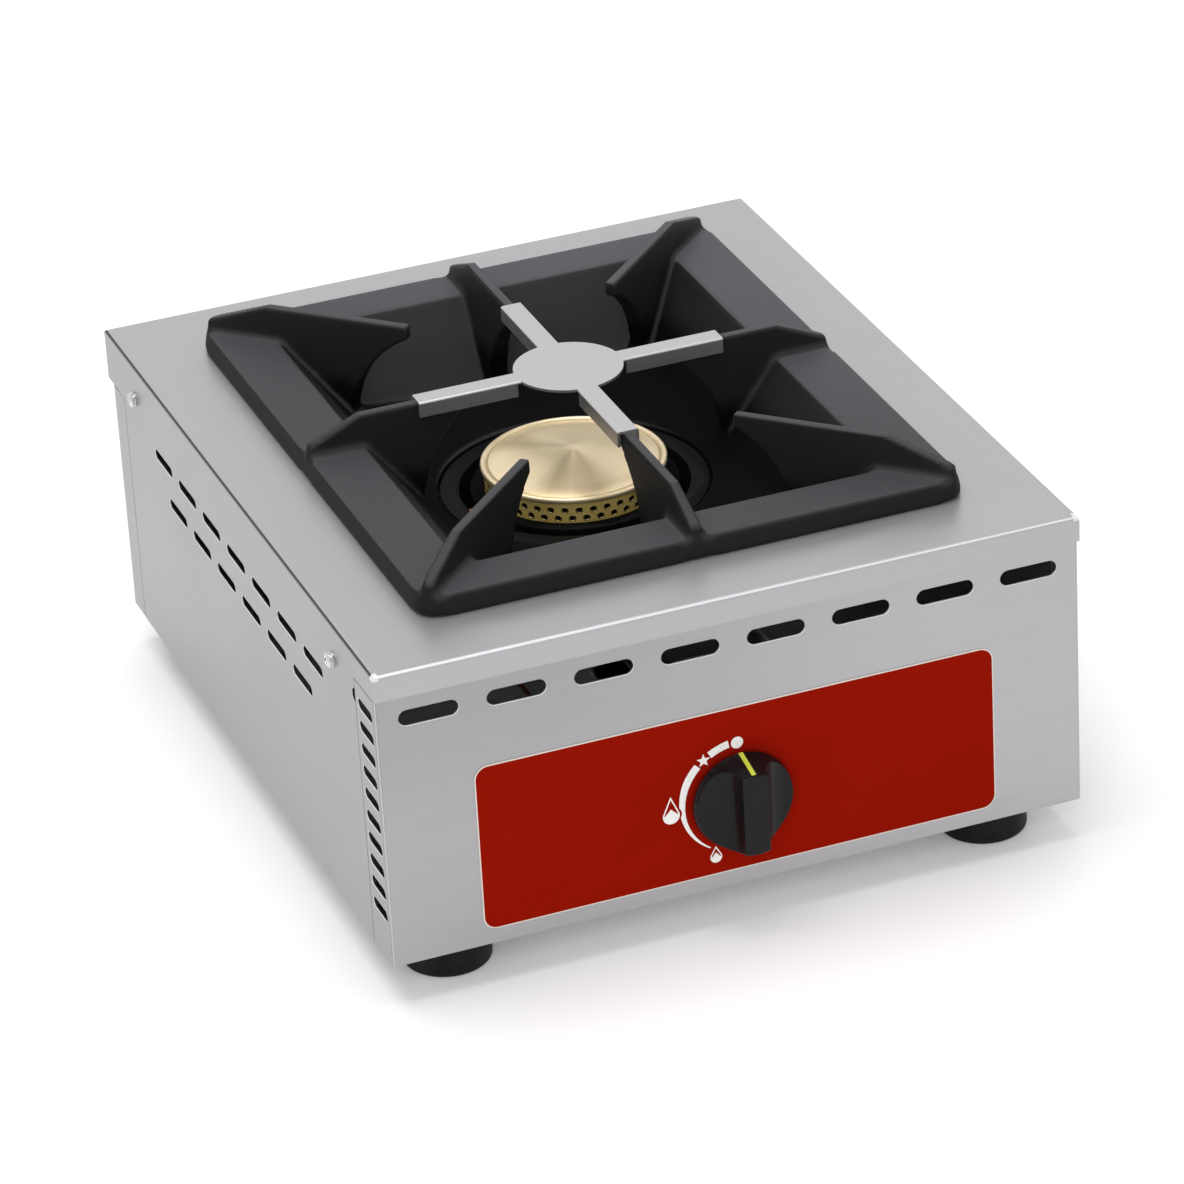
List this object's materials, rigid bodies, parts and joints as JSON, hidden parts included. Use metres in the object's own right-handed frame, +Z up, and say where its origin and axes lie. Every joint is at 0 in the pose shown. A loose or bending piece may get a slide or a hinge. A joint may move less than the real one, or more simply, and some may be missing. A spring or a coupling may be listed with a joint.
{
  "type": "gas table stove",
  "caption": "Low stainless table stove: a brass-capped gas burner in a cast pan support with a lift-off small-pot cross and a push-and-turn front knob.",
  "frame": {"origin": "on the table, at the bottom centre of the bounding box, under the middle of the cover", "axes": "+Z up, -Y towards the front with the knob, +X to the right seen from the front"},
  "size_m": [0.4072, 0.511, 0.232],
  "materials": {
    "stainless": "fine brushed",
    "zinc_sheet": "zinc plated",
    "cast_iron": "black satin enamel",
    "black_enamel": "satin enamel",
    "burner_brass": "turned",
    "brass": "machined",
    "pipe": "drawn",
    "copper": "drawn",
    "steel": "turned",
    "screw_steel": "bright",
    "label_red": "printed",
    "knob_black": "satin",
    "pointer_yellow": "inlaid",
    "foot_rubber": "moulded"
  },
  "bodies": {
    "stove": {"hob_cover": "stainless", "front_panel": "stainless", "rear_panel": "stainless", "base_plate": "zinc_sheet", "rail_front": "zinc_sheet", "rail_rear": "zinc_sheet", "burner_bracket": "zinc_sheet", "valve_bracket": "zinc_sheet", "burner_body": "cast_iron", "drip_bowl": "black_enamel", "valve_body": "brass", "valve_bonnet": "brass", "injector": "brass", "injector_holder": "brass", "feed_nuts": "brass", "supply_nuts": "brass", "inlet_fitting": "brass", "inlet_locknut": "brass", "magnet_unit": "brass", "thermocouple_nut": "brass", "burner_nut": "brass", "feed_pipe": "pipe", "supply_pipe": "pipe", "thermocouple": "copper", "thermocouple_lead": "copper", "spindle_spring": "steel", "cover_screws": "screw_steel", "cover_nuts": "screw_steel", "foot_screws": "screw_steel", "foot_nuts": "screw_steel", "bracket_screws": "screw_steel", "panel_screws": "screw_steel", "bonnet_screws": "screw_steel", "valve_screws": "screw_steel", "control_label": "label_red", "foot_front_left": "foot_rubber", "foot_front_right": "foot_rubber", "foot_rear_left": "foot_rubber", "foot_rear_right": "foot_rubber"},
    "tap_plug": {"valve_plug": "brass"},
    "control": {"knob": "knob_black", "knob_pointer": "pointer_yellow", "valve_spindle": "steel"},
    "shutter": {"air_shutter": "steel", "shutter_screw": "screw_steel"},
    "crown": {"burner_crown": "burner_brass"},
    "cap": {"burner_cap": "burner_brass"},
    "pan_support": {"grate": "cast_iron"},
    "small_pot_cross": {"reducer_cross": "stainless"}
  },
  "joints": [
    {"name": "knob_turn", "type": "hinge", "parent": "stove", "child": "tap_plug", "pos_m": [0, -0.2352, 0.0775], "axis": [0, -1, 0], "range_deg": [0, 160]},
    {"name": "knob_push", "type": "slide", "parent": "tap_plug", "child": "control", "axis": [0, 1, 0], "range_m": [0, 0.002], "stiffness_N_per_m": 2500, "springref_m": -0.003, "deforming": ["spindle_spring"]},
    {"name": "shutter_slide", "type": "slide", "parent": "stove", "child": "shutter", "axis": [0, -1, 0], "range_m": [-0.006, 0.01]},
    {"name": "crown_lift", "type": "slide", "parent": "stove", "child": "crown", "axis": [0, 0, 1], "range_m": [0, 0.015]},
    {"name": "cap_lift", "type": "slide", "parent": "crown", "child": "cap", "axis": [0, 0, 1], "range_m": [0, 0.02]},
    {"name": "grate_lift", "type": "slide", "parent": "stove", "child": "pan_support", "axis": [0, 0, 1], "range_m": [0, 0.15]},
    {"name": "cross_lift", "type": "slide", "parent": "pan_support", "child": "small_pot_cross", "axis": [0, 0, 1], "range_m": [0, 0.1]}
  ]
}
